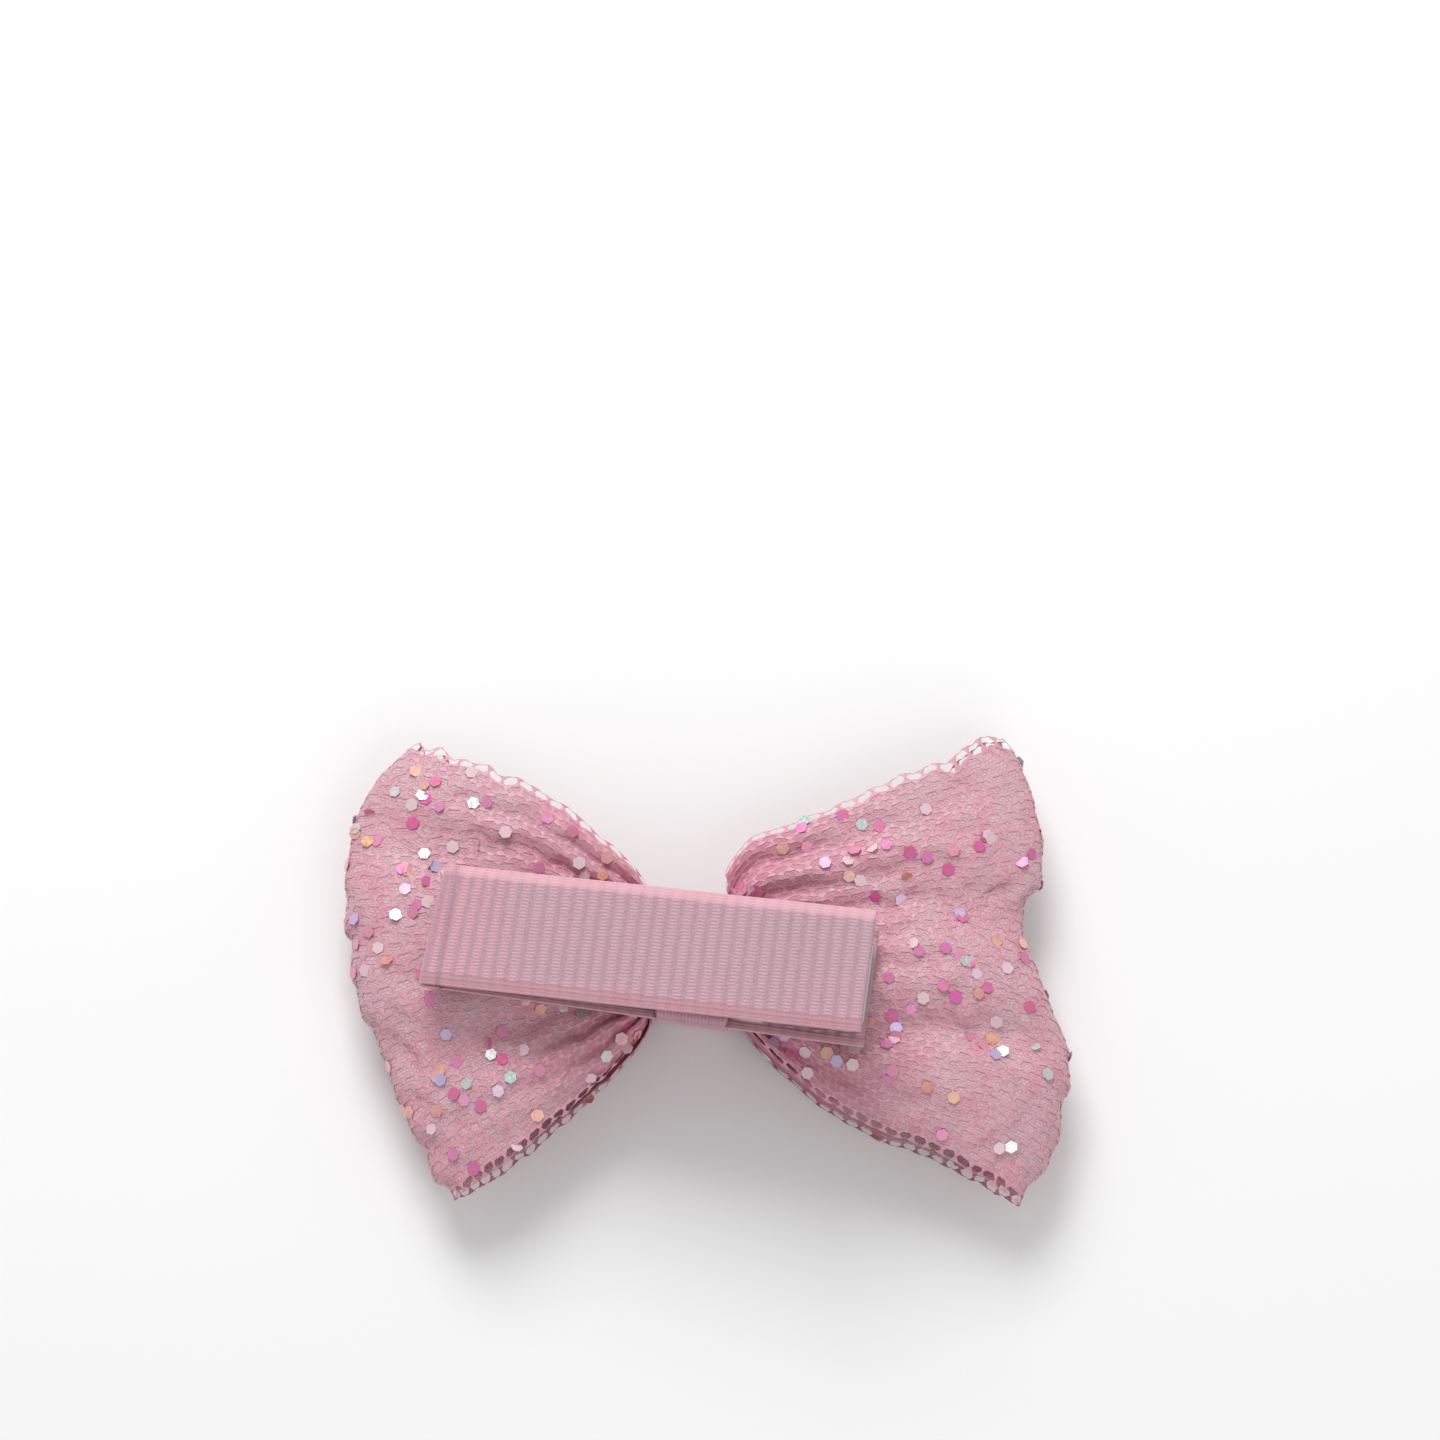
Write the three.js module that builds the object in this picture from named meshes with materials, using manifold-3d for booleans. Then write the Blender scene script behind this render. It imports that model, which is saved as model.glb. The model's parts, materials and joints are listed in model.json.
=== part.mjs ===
// A glitter-net hair bow on a ribbon-lined alligator clip, in millimetres, +Z up.
//
// The bow lies face down with its clip on top. X runs along the bow, Y along its height, and the
// origin is the centre of the footprint, on the surface that it lies on. A net strip and a backing
// strip inside it are folded into two loops and gathered at the waist. The clip crosses the waist,
// turned a little: its lower arm is fixed to the bow and its upper arm turns on the pin.

import * as THREE from 'three';
import { mergeVertices } from 'three/addons/utils/BufferGeometryUtils.js';
import Module from 'manifold-3d';

const wasm = await Module();
wasm.setup();

const { lerp, smoothstep, degToRad } = THREE.MathUtils;

// Clip, in its own frame: U along it from the metal tip to the tail, V across it,
// W up from the fixed arm's inner face
const clipTip = [-21.5, 2.36];
const clipTurn = degToRad(8);
const clipLift = 10.35;
const armLength = 35;
const armWidth = 8;
const armThickness = 0.5;
const armCorner = 1.2;
const tipGap = 0.3;
const wedge = degToRad(7.6); // between the closed arms
const pinAlong = 26;
const pinLift = 1.85;
const pinRadius = 0.6;
const pinHeadRadius = 1;
const pinHeadThickness = 0.35;
const pinHeadGap = 0.25;
const holeRadius = 0.7;
const earRadius = 1.3;
const earThickness = 0.5;
const movingEarOffset = 2.75; // from the clip's centre line to the inside of the moving arm's ears
const toothStart = 2;
const toothPitch = 1.5;
const toothCount = 5;
const toothBase = 1.1;
const toothWidth = 0.8;
const toothClearance = 0.25;

// Grosgrain linings, one on the outer face of each arm
const ribbonWidth = 10;
const ribbonThickness = 0.4;
const ribbonGap = 0.25; // to the arm
const ribbonOverhang = 0.3; // past the arm's tail
const foldRoom = 0.6; // between the arm's tip and the ribbon folded over it
const foldRadius = 0.5;

// Torsion spring on the pin
const wireRadius = 0.22;
const coilRadius = 1.15;
const coilTurns = 5.5;
const coilHalfLength = 2;
const legLength = 6.5;
const legGap = 0.2; // from the wire to the arm that it pushes

// The two strips
const midHeight = 4.5; // of the plane half way between a loop's two layers
const loopHalfDepth = 4.5; // how far the net bulges from that plane
const waistHalfDepth = 3.1; // the same at the gathered waist
const edgeShare = 0.55; // bulge at the strip's long edges, as a share of the bulge at its crest
const waistEdgeShare = 0.88;
const backSkew = 0.68; // below 1, the back layer's crest lies nearer to its lower long edge
const foldStart = 0.62; // share of a loop's length where it starts to close towards its end fold
const waistAlong = 21.2; // place of the waist on the clip
const waistHalfHeight = 2.6;
const netThickness = 0.6;
const waistThickness = 1.2; // of one gathered layer
const layerGap = 0.3;
const backingInset = 0.8; // how far the backing ends short of the net's long edges
const backingPullBack = 1.4; // and of the net's end folds
const stripWidth = 39;

// Waist wrap, thread and glue
const wrapWidth = 5.6;
const wrapThickness = 0.4;
const wrapGap = 0.3; // over the arm
const wrapArmHalf = 5.25; // half its height inside, round the lined arm
const wrapWaistHalf = 3.55; // the same round the waist's back
const wrapFrontHalf = 3.1; // and at its front
const wrapShoulder = [-1.6, -3.2]; // W where it starts to narrow below the arm, and where it ends
const wrapCorner = 0.9;
const threadRadius = 0.2;
const threadTurns = 4;
const threadPitch = 0.8;
const threadGap = 0.25;
const gluePad = { length: 5, width: 6, thickness: 0.45, corner: 1 };

// Outline of each loop: its two long edges from the waist to a corner, then its wavy end fold
const outlines = {
  left: {
    upperEdge: [[-5.2, 7.4], [-9.6, 11.6], [-14, 14.8], [-19.6, 17.1], [-24.5, 19.2]],
    lowerEdge: [[-4.8, -5], [-8, -9.1], [-12.8, -13.5], [-16.4, -16.3], [-20.5, -19.3]],
    endFold: [
      [-27.8, 15.4], [-29.5, 10.6], [-29.7, 5], [-29.3, 0.2], [-28, -4.1], [-25.7, -9.4], [-22.8, -14.9],
    ],
  },
  right: {
    upperEdge: [
      [4.1, 3], [3.3, 5.4], [1.6, 7.4], [3.6, 10.6], [8.2, 12.4], [13.2, 14.6], [19.2, 17.1],
      [25.4, 19.6],
    ],
    lowerEdge: [[3.6, -5.4], [7.6, -9.5], [12.6, -13], [20.6, -16.5], [25.4, -19.5]],
    endFold: [
      [26.9, 15.4], [27.8, 11.6], [27.5, 7.4], [26.1, 3.8], [27.5, -0.6], [29.8, -8.6], [28.4, -14.6],
    ],
  },
};

const finishes = {
  net: { color: '#e3aebf', roughness: 0.7, metalness: 0 },
  backing: { color: '#e58fb0', roughness: 0.85, metalness: 0 },
  ribbon: { color: '#d9a9ba', roughness: 0.75, metalness: 0 },
  thread: { color: '#e9c3cf', roughness: 0.8, metalness: 0 },
  glue: { color: '#efe9dc', roughness: 0.4, metalness: 0 },
  steel: { color: '#c9cbce', roughness: 0.3, metalness: 1 },
};

function part(name, geometry, finish) {
  const mesh = new THREE.Mesh(geometry, new THREE.MeshStandardMaterial(finishes[finish]));
  mesh.name = name;
  return mesh;
}

// ---- Solids that are joined or cut ----

function toSolid(geometry) {
  const bare = geometry.clone();
  bare.deleteAttribute('normal');
  bare.deleteAttribute('uv');
  const merged = mergeVertices(bare, 1e-4);
  return new wasm.Manifold(new wasm.Mesh({
    numProp: 3,
    vertProperties: new Float32Array(merged.attributes.position.array),
    triVerts: new Uint32Array(merged.index.array),
  }));
}

function toGeometry(solid) {
  const mesh = solid.getMesh();
  const geometry = new THREE.BufferGeometry();
  geometry.setAttribute('position', new THREE.BufferAttribute(mesh.vertProperties, 3));
  geometry.setIndex(new THREE.BufferAttribute(mesh.triVerts, 1));
  geometry.computeVertexNormals();
  return geometry;
}

function join(geometries) {
  return toGeometry(geometries.map(toSolid).reduce((whole, piece) => whole.add(piece)));
}

// ---- Flat shapes ----

function roundedRectangle(left, right, bottom, top, corner) {
  const shape = new THREE.Shape();
  shape.absarc(right - corner, bottom + corner, corner, -Math.PI / 2, 0);
  shape.absarc(right - corner, top - corner, corner, 0, Math.PI / 2);
  shape.absarc(left + corner, top - corner, corner, Math.PI / 2, Math.PI);
  shape.absarc(left + corner, bottom + corner, corner, Math.PI, 1.5 * Math.PI);
  return shape;
}

function roundedPolygon(corners, radius) {
  const points = corners.map(([x, y]) => new THREE.Vector2(x, y));
  const shape = new THREE.Shape();
  points.forEach((corner, i) => {
    const towards = (other) => other.clone().sub(corner).setLength(radius).add(corner);
    const start = towards(points.at(i - 1));
    const end = towards(points[(i + 1) % points.length]);
    if (i === 0) shape.moveTo(start.x, start.y);
    else shape.lineTo(start.x, start.y);
    shape.quadraticCurveTo(corner.x, corner.y, end.x, end.y);
  });
  return shape;
}

// A shape drawn in U and V, given a thickness up W
function extrudeUp(shape, bottom, thickness, curveSegments = 5) {
  const settings = { depth: thickness, bevelEnabled: false, curveSegments };
  return new THREE.ExtrudeGeometry(shape, settings).translate(0, 0, bottom);
}

// A shape drawn in U and W, given a width across V from near to near + width
function extrudeAcross(shape, near, width, curveSegments = 5) {
  const geometry = new THREE.ExtrudeGeometry(shape, { depth: width, bevelEnabled: false, curveSegments });
  return geometry.rotateX(Math.PI / 2).translate(0, near + width, 0);
}

// A shape drawn in V and W, given a length along U
function extrudeAlong(shape, start, length, curveSegments = 5) {
  const geometry = new THREE.ExtrudeGeometry(shape, { depth: length, bevelEnabled: false, curveSegments });
  return geometry.rotateX(Math.PI / 2).rotateZ(Math.PI / 2).translate(start, 0, 0);
}

// ---- Clip ----

// A stamped ear in U and W: it stands on the plate at height foot, and its hole is on the pin
function earShape(centre, foot, pinHeight) {
  const shape = new THREE.Shape();
  const up = pinHeight > foot;
  shape.moveTo(centre - earRadius, foot);
  shape.lineTo(centre - earRadius, pinHeight);
  shape.absarc(centre, pinHeight, earRadius, Math.PI, 0, up);
  shape.lineTo(centre + earRadius, foot);
  const hole = new THREE.Path();
  hole.absarc(centre, pinHeight, holeRadius, 0, 2 * Math.PI);
  shape.holes.push(hole);
  return shape;
}

function ears(centre, foot, pinHeight, inside) {
  return [inside, -inside - earThickness].map((near) => (
    extrudeAcross(earShape(centre, foot, pinHeight), near, earThickness, 8)));
}

function baseArmGeometry() {
  const plate = roundedRectangle(0, armLength, -armWidth / 2, armWidth / 2, armCorner);
  const inside = armWidth / 2 - earThickness;
  return join([
    extrudeUp(plate, -armThickness, armThickness),
    ...ears(pinAlong, -armThickness / 2, pinLift, inside),
  ]);
}

// The moving arm is drawn in the pivot frame, whose origin is on the pin
const movingFace = (tipGap + pinAlong * Math.tan(wedge) - pinLift) * Math.cos(wedge);

function toothGeometry(along, side) {
  const depth = tipGap + along * Math.tan(wedge) - toothClearance;
  const root = movingFace + armThickness / 2;
  const start = along - pinAlong;
  const shape = new THREE.Shape();
  shape.moveTo(start, root);
  shape.lineTo(start + toothBase / 2, movingFace - depth);
  shape.lineTo(start + toothBase, root);
  const near = side > 0 ? armWidth / 2 - toothWidth : -armWidth / 2;
  return extrudeAcross(shape, near, toothWidth);
}

function pivotArmGeometry() {
  const plate = roundedRectangle(-pinAlong, armLength - pinAlong, -armWidth / 2, armWidth / 2, armCorner);
  const teeth = [];
  for (let i = 0; i < toothCount; i += 1) {
    const along = toothStart + i * toothPitch;
    teeth.push(toothGeometry(along, 1), toothGeometry(along, -1));
  }
  return join([
    extrudeUp(plate, movingFace, armThickness),
    ...ears(0, movingFace + armThickness / 2, 0, movingEarOffset),
    ...teeth,
  ]);
}

// A lining in U and W on a face at height face, folded over the tip. away is +1 up or -1 down
function ribbonGeometry(tip, face, away) {
  const inner = face + away * ribbonGap;
  const outer = inner + away * ribbonThickness;
  const fold = tip - foldRoom;
  const end = face - away * armThickness;
  const tail = tip + armLength + ribbonOverhang;
  const shape = new THREE.Shape();
  shape.moveTo(tail, inner);
  shape.lineTo(tail, outer);
  shape.lineTo(fold - ribbonThickness + foldRadius, outer);
  shape.quadraticCurveTo(fold - ribbonThickness, outer, fold - ribbonThickness, outer - away * foldRadius);
  shape.lineTo(fold - ribbonThickness, end);
  shape.lineTo(fold, end);
  shape.lineTo(fold, inner);
  return extrudeAcross(shape, -ribbonWidth / 2, ribbonWidth);
}

function pinGeometry() {
  const shank = armWidth / 2 + pinHeadGap;
  const end = shank + pinHeadThickness;
  const profile = [
    [0, -end], [pinHeadRadius, -end], [pinHeadRadius, -shank], [pinRadius, -shank],
    [pinRadius, shank], [pinHeadRadius, shank], [pinHeadRadius, end], [0, end],
  ];
  return new THREE.LatheGeometry(profile.map(([r, v]) => new THREE.Vector2(r, v)), 20);
}

function wireGeometry(points, radius, steps, sides) {
  const section = new THREE.Shape();
  section.absarc(0, 0, radius, 0, 2 * Math.PI);
  return new THREE.ExtrudeGeometry(section, {
    extrudePath: new THREE.CatmullRomCurve3(points),
    steps,
    curveSegments: sides,
    bevelEnabled: false,
  });
}

// The wire comes in along the fixed arm's tail, turns round the pin and leaves along the moving arm's
function springGeometry() {
  const points = [new THREE.Vector3(legLength, -coilHalfLength, wireRadius + legGap - pinLift)];
  const coilSteps = Math.round(coilTurns * 16);
  for (let i = 0; i <= coilSteps; i += 1) {
    const turn = -Math.PI / 2 - (i / coilSteps) * coilTurns * 2 * Math.PI;
    const across = lerp(-coilHalfLength, coilHalfLength, i / coilSteps);
    points.push(new THREE.Vector3(coilRadius * Math.cos(turn), across, coilRadius * Math.sin(turn)));
  }
  const movingLeg = new THREE.Vector3(legLength, coilHalfLength, movingFace - wireRadius - legGap);
  points.push(movingLeg.applyAxisAngle(new THREE.Vector3(0, 1, 0), -wedge));
  return wireGeometry(points, wireRadius, 100, 4);
}

// ---- Waist ----

const waistMid = midHeight - clipLift; // W of the plane half way through the waist

// Section of the wrap in V and W, at a growth outside its inner face: wide round the lined arm,
// and narrower round the waist
function wrapSection(growth) {
  const [shoulder, neck] = wrapShoulder;
  const half = [
    [wrapFrontHalf + growth, wrapThickness - clipLift - growth],
    [wrapWaistHalf + growth, neck],
    [wrapArmHalf + growth, shoulder],
    [wrapArmHalf + growth, wrapGap + growth],
  ];
  return roundedPolygon([...half, ...half.map(([v, w]) => [-v, w]).reverse()], wrapCorner);
}

function wrapGeometry() {
  const band = wrapSection(wrapThickness);
  band.holes.push(wrapSection(0));
  return extrudeAlong(band, waistAlong - wrapWidth / 2, wrapWidth, 4);
}

function gluePadGeometry() {
  const { length, width, thickness, corner } = gluePad;
  const start = waistAlong - length / 2;
  const pad = roundedRectangle(start, start + length, -width / 2, width / 2, corner);
  const ribbonUnderside = -armThickness - ribbonGap - ribbonThickness;
  return extrudeUp(pad, ribbonUnderside - ribbonGap - thickness, thickness);
}

// Thread wound round the gathered waist on a rounded oblong
function threadGeometry() {
  const halfHeight = waistHalfHeight + threadGap + threadRadius;
  const halfDepth = waistHalfDepth + threadGap + threadRadius;
  const points = [];
  const steps = threadTurns * 20;
  for (let i = 0; i <= steps; i += 1) {
    const turn = (i / steps) * threadTurns * 2 * Math.PI;
    const reach = ((Math.cos(turn) / halfHeight) ** 8 + (Math.sin(turn) / halfDepth) ** 8) ** -0.125;
    const along = waistAlong + (i / steps - 0.5) * threadTurns * threadPitch;
    points.push(new THREE.Vector3(along, reach * Math.cos(turn), waistMid + reach * Math.sin(turn)));
  }
  return wireGeometry(points, threadRadius, steps, 3);
}

// ---- Strips ----

function onClip(along, across) {
  return [
    clipTip[0] + along * Math.cos(clipTurn) + across * Math.sin(clipTurn),
    clipTip[1] - along * Math.sin(clipTurn) + across * Math.cos(clipTurn),
  ];
}

function planCurve(points) {
  return new THREE.CatmullRomCurve3(points.map(([x, y]) => new THREE.Vector3(x, y, 0)));
}

// Plan of one loop. share runs from 0 at the waist to 1 at the end fold, and rise from 0 at the
// lower long edge to 1 at the upper one
function loopPlan({ upperEdge, lowerEdge, endFold }, away) {
  const waistSide = (across) => [
    onClip(waistAlong + away * 0.6, across),
    onClip(waistAlong + away * (wrapWidth / 2 + 0.65), across),
  ];
  const upper = planCurve([...waistSide(waistHalfHeight), ...upperEdge]);
  const lower = planCurve([...waistSide(-waistHalfHeight), ...lowerEdge]);
  const end = planCurve([lowerEdge.at(-1), ...endFold.toReversed(), upperEdge.at(-1)]);
  return (share, rise) => {
    const point = lower.getPointAt(share).lerp(upper.getPointAt(share), rise);
    const chord = lower.getPointAt(1).lerp(upper.getPointAt(1), rise);
    return point.add(end.getPointAt(rise).sub(chord).multiplyScalar(share ** 2));
  };
}

// How far a layer lies from the loop's middle plane: it grows from the waist and closes in an
// ellipse at the end fold. facing is 1 for the back layer and -1 for the front one, and inset is
// how far inside the net's outer skin the surface lies
function halfDepth(share, rise, facing, inset) {
  const crest = Math.sin(Math.PI * rise ** (facing > 0 ? backSkew : 1));
  const loop = loopHalfDepth * lerp(edgeShare, 1, crest ** 0.8);
  const waist = waistHalfDepth * lerp(waistEdgeShare, 1, crest ** 0.5);
  const closing = Math.max(0, (share - foldStart) / (1 - foldStart));
  return (lerp(waist, loop, smoothstep(share, 0.1, 0.45)) - inset) * Math.sqrt(1 - closing ** 2);
}

// Depth of a skin below the net's outer skin: the outer skin of layer 0 or 1, or its inner skin
function skinInset(share, layer, inner) {
  const thickness = lerp(waistThickness, netThickness, smoothstep(share, 0.1, 0.3));
  return layer * (thickness + layerGap) + (inner ? thickness : 0);
}

// A closed strip round both loops: an outer and an inner skin, joined along the two long edges
function stripGeometry(layer, loopSteps, riseSteps) {
  const away = { left: -1, right: 1 };
  const plans = {};
  const columns = [];
  for (const side of ['right', 'left']) {
    plans[side] = loopPlan(outlines[side], away[side]);
    for (let i = 0; i < 2 * loopSteps; i += 1) {
      const turn = i <= loopSteps ? i / loopSteps : 2 - i / loopSteps;
      const facing = i <= loopSteps ? away[side] : -away[side];
      columns.push({ side, share: smoothstep(turn, 0, 1), facing });
    }
  }
  const margin = (layer * backingInset) / stripWidth;
  const skinPoint = ({ side, share, facing }, rise, inner) => {
    const plan = plans[side](share, lerp(margin, 1 - margin, rise));
    const pullBack = share ** 4 * (layer * backingPullBack + (inner ? netThickness : 0));
    const height = facing * halfDepth(share, rise, facing, skinInset(share, layer, inner));
    return [plan.x - away[side] * pullBack, plan.y, midHeight + height];
  };
  const rows = riseSteps + 1;
  const positions = [];
  for (const inner of [false, true]) {
    for (const column of columns) {
      for (let row = 0; row < rows; row += 1) positions.push(...skinPoint(column, row / riseSteps, inner));
    }
  }
  const vertex = (skin, column, row) => (skin * columns.length + (column % columns.length)) * rows + row;
  const index = [];
  const quad = (a, b, c, d) => index.push(a, b, c, a, c, d);
  for (let i = 0; i < columns.length; i += 1) {
    for (let row = 0; row < riseSteps; row += 1) {
      quad(vertex(0, i, row), vertex(0, i + 1, row), vertex(0, i + 1, row + 1), vertex(0, i, row + 1));
      quad(vertex(1, i, row), vertex(1, i, row + 1), vertex(1, i + 1, row + 1), vertex(1, i + 1, row));
    }
    quad(vertex(0, i, 0), vertex(1, i, 0), vertex(1, i + 1, 0), vertex(0, i + 1, 0));
    const last = riseSteps;
    quad(vertex(0, i, last), vertex(0, i + 1, last), vertex(1, i + 1, last), vertex(1, i, last));
  }
  const geometry = new THREE.BufferGeometry();
  geometry.setAttribute('position', new THREE.Float32BufferAttribute(positions, 3));
  geometry.setIndex(index);
  geometry.computeVertexNormals();
  return geometry;
}

// ---- Assembly ----

const pivot = new THREE.Group();
pivot.position.set(pinAlong, 0, pinLift);
pivot.rotation.y = -wedge;
pivot.add(part('pivot_arm', pivotArmGeometry(), 'steel'));
pivot.add(part('pivot_arm_ribbon', ribbonGeometry(-pinAlong, movingFace + armThickness, 1), 'ribbon'));

const hinge = new THREE.Group();
hinge.position.set(pinAlong, 0, pinLift);
hinge.add(part('hinge_pin', pinGeometry(), 'steel'));
hinge.add(part('torsion_spring', springGeometry(), 'steel'));

const clip = new THREE.Group();
clip.position.set(clipTip[0], clipTip[1], clipLift);
clip.rotation.z = -clipTurn;
clip.add(part('base_arm', baseArmGeometry(), 'steel'));
clip.add(part('base_arm_ribbon', ribbonGeometry(0, -armThickness, -1), 'ribbon'));
clip.add(part('centre_wrap', wrapGeometry(), 'ribbon'));
clip.add(part('glue_pad', gluePadGeometry(), 'glue'));
clip.add(part('gathering_thread', threadGeometry(), 'thread'));
clip.add(hinge, pivot);

const bow = new THREE.Group();
bow.add(part('net_strip', stripGeometry(0, 12, 10), 'net'));
bow.add(part('backing_strip', stripGeometry(1, 12, 9), 'backing'));
bow.add(clip);

export default bow;
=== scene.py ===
# A glitter-net hair bow on a ribbon-lined alligator clip, lying face down with its clip on top.
# Shapes are worked out in millimetres in the frame of the CAD model, +X along the bow, +Y up its
# height and +Z out of its back, and new_piece turns them into Blender's metres. The clip has a
# frame of its own: U along it from the metal tip to the tail, V across it along the hinge pin,
# and W up from the fixed arm's inner face.

import json
import math

import bmesh
import bpy
import numpy as np
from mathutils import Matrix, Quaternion, Vector


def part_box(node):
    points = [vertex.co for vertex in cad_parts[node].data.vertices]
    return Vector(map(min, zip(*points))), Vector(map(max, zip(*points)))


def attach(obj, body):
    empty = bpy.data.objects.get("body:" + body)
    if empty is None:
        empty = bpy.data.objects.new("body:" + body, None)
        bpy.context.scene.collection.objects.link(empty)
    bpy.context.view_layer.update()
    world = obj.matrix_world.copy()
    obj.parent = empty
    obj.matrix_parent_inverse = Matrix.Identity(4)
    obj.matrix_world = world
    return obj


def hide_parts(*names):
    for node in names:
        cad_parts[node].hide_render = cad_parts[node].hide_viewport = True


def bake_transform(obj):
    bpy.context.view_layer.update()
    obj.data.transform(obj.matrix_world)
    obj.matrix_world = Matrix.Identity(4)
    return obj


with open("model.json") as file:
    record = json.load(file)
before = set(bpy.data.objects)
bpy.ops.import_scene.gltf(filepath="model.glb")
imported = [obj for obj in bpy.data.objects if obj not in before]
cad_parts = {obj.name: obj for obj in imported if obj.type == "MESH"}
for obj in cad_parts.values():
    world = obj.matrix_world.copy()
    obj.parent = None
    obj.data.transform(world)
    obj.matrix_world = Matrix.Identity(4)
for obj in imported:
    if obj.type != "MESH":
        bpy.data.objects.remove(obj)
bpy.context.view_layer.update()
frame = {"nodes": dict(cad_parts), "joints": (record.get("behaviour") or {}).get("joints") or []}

MM = 0.001

# Clip, placed by the frame's hinge
PIN_ALONG = 26
PIN_LIFT = 1.85
ARM_LENGTH = 35
ARM_WIDTH = 8
ARM_THICKNESS = 0.5
TIP_GAP = 0.3
WEDGE = math.radians(7.6)  # between the closed arms
MOVING_FACE = (TIP_GAP + PIN_ALONG * math.tan(WEDGE) - PIN_LIFT) * math.cos(WEDGE)

# Ribbons
RIBBON_WIDTH = 10
RIBBON_THICKNESS = 0.4
RIBBON_GAP = 0.25
RIBBON_OVERHANG = 0.3
FOLD_ROOM = 0.6
RIB_PITCH = 1.1
RIB_HEIGHT = 0.13
RIB_SHARE = 0.68  # the share of the pitch that a rib fills; the rest is the valley
WARP_PITCH = 0.28  # between the warp threads that lie over one rib
WARP_HEIGHT = 0.08
SELVEDGE = 0.8
FOLD_RADIUS = 0.5
EDGE_DROOP = 0.4  # how far a lining's long edges bend towards its narrower arm
FOLD_LEAN = 0.07  # how much further in a fold is for each millimetre across its ribbon
RIB_STEPS = 9  # mesh steps along each rib
WARP_STEPS = 4  # mesh steps across each warp thread

# Loops
MID_HEIGHT = 4.5
LOOP_HALF_DEPTH = 4.5
WAIST_HALF_DEPTH = 3.1
EDGE_SHARE = 0.55
WAIST_EDGE_SHARE = 0.88
BACK_SKEW = 0.68
FOLD_START = 0.62
WAIST_ALONG = 21.2
WAIST_HALF_HEIGHT = 2.6
STRIP_WIDTH = 39
BACKING_INSET = 0.8  # how far the backing ends short of the net's long edges
NET_DEPTH = 0.07  # how far each surface lies inside the loops' envelope
BACKING_OUTER_DEPTH = 0.1
BACKING_INNER_DEPTH = 0.3
BACKING_OUTER_PULL = 0.05  # how far each surface's end folds lie inside the outline
BACKING_INNER_PULL = 0.25
OUTLINES = {
    "left": {
        "upper": [(-5.2, 7.4), (-9.6, 11.6), (-14, 14.8), (-19.6, 17.1), (-24.5, 19.2)],
        "lower": [(-4.8, -5), (-8, -9.1), (-12.8, -13.5), (-16.4, -16.3), (-20.5, -19.3)],
        "end": [(-27.8, 15.4), (-29.5, 10.6), (-29.7, 5), (-29.3, 0.2), (-28, -4.1), (-25.7, -9.4),
                (-22.8, -14.9)],
    },
    "right": {
        "upper": [(4.1, 3), (3.3, 5.4), (1.6, 7.4), (3.6, 10.6), (8.2, 12.4), (13.2, 14.6),
                  (19.2, 17.1), (25.4, 19.6)],
        "lower": [(3.6, -5.4), (7.6, -9.5), (12.6, -13), (20.6, -16.5), (25.4, -19.5)],
        "end": [(26.9, 15.4), (27.8, 11.6), (27.5, 7.4), (26.1, 3.8), (27.5, -0.6), (29.8, -8.6),
                (28.4, -14.6)],
    },
}
AWAY = {"left": -1, "right": 1}

# Soft folds of the back layer: rise at the waist, rise at the end fold, half width, depth
FOLDS = {
    "left": [(0.25, 0.3, 0.07, 1.0), (0.7, 0.78, 0.09, 0.9)],
    "right": [(0.25, 0.34, 0.05, 1.4), (0.75, 0.62, 0.08, 1.0)],
}
CORNER_ROUNDING = 0.6  # how far a loop's upper corner is pulled in
EDGE_WANDER = 0.22
PLEATS = 9
PLEAT_DEPTH = 1.3  # at the waist

# Net
CELL_LENGTH = 1.45
CELL_HEIGHT = 0.85
CELL_LEAN = 0.13  # how far a cell's corners lean out of the brick pattern
STRAND_WIDTH = 0.18
STRAND_THICKNESS = 0.05

# Waist wrap, thread and glue
WRAP_WIDTH = 5.6
WRAP_THICKNESS = 0.4
WRAP_GAP = 0.3
WRAP_ARM_HALF = 4.95  # half its height inside, round the lined arm that it squeezes
WRAP_WAIST_HALF = 3.55
WRAP_FRONT_HALF = 3.1
WRAP_SHOULDER = (-1.2, -2.8)  # W where it starts to narrow below the arm, and where it ends
WRAP_CORNER = 0.9
WRAP_CLOTH = 0.32  # thickness of the wrap's ribbon
WRAP_FOLD_RADIUS = 0.18  # of its long edges, which are folded under
CLIP_LIFT = 10.35
THREAD_RADIUS = 0.2
THREAD_TURNS = 4
THREAD_PITCH = 0.8
THREAD_GAP = 0.25
GLUE_LENGTH = 5
GLUE_WIDTH = 6

# Torsion spring
WIRE_RADIUS = 0.22
COIL_RADIUS = 1.15
COIL_TURNS = 5.5
COIL_HALF_LENGTH = 2
LEG_LENGTH = 6.5
LEG_GAP = 0.2

# Glitter flakes
FLAKE_SIZE = 0.95  # across its flats
FLAKE_THICKNESS = 0.04
FLAKES_PER_LAYER = 84
FLAKE_CLUSTERS_PER_LAYER = 12
FLAKE_TINTS = [
    # share, colour, how metallic
    (0.42, (0.72, 0.1, 0.34), 0.3),
    (0.18, (0.78, 0.36, 0.24), 0.3),
    (0.04, (0.7, 0.92, 0.86), 0.8),
    (0.08, (0.8, 0.88, 0.85), 0.85),
    (0.08, (0.62, 0.5, 0.8), 0.5),
    (0.2, (0.78, 0.58, 0.63), 0.1),
]
LOWEST = 0.02  # of any flake above the table

# Steel
STAMPED_EDGE = 0.07  # radius of the arms' and the pin's edges

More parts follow.
